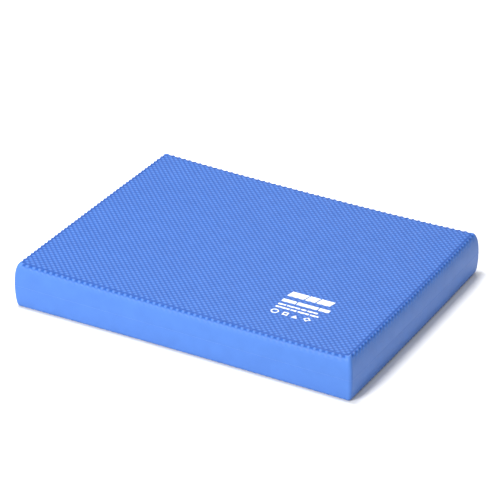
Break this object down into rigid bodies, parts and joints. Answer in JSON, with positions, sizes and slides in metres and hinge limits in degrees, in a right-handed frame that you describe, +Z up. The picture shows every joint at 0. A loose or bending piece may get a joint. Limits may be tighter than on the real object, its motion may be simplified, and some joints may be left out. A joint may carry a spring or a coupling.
{
  "type": "balance pad",
  "caption": "Rectangular closed-cell foam balance pad with rolled smooth sides, embossed standing faces and a plain printed mark.",
  "frame": {"origin": "middle of the underside, on the floor", "axes": "+X along the long side, towards the right of someone facing the front; +Y across the pad, towards the back; +Z up. The printed mark is on the top, near the +X, -Y corner"},
  "size_m": [0.5, 0.41, 0.06],
  "materials": {
    "foam": "matt closed-cell foam",
    "bond_film": "satin",
    "embossed_skin": "matt, finely embossed",
    "smooth_skin": "satin, smooth",
    "ink": "matt white ink"
  },
  "bodies": {
    "root": {"upper_foam_half": "foam", "lower_foam_half": "foam", "mid_bond_film": "bond_film", "top_embossed_skin": "embossed_skin", "bottom_embossed_skin": "embossed_skin", "upper_side_skin": "smooth_skin", "lower_side_skin": "smooth_skin", "ink_title_bar": "ink", "ink_subtitle_bar": "ink", "ink_caption_bar_upper": "ink", "ink_caption_bar_lower": "ink", "ink_icon_ring": "ink", "ink_icon_square": "ink", "ink_icon_triangle": "ink", "ink_icon_diamond": "ink"}
  },
  "joints": []
}
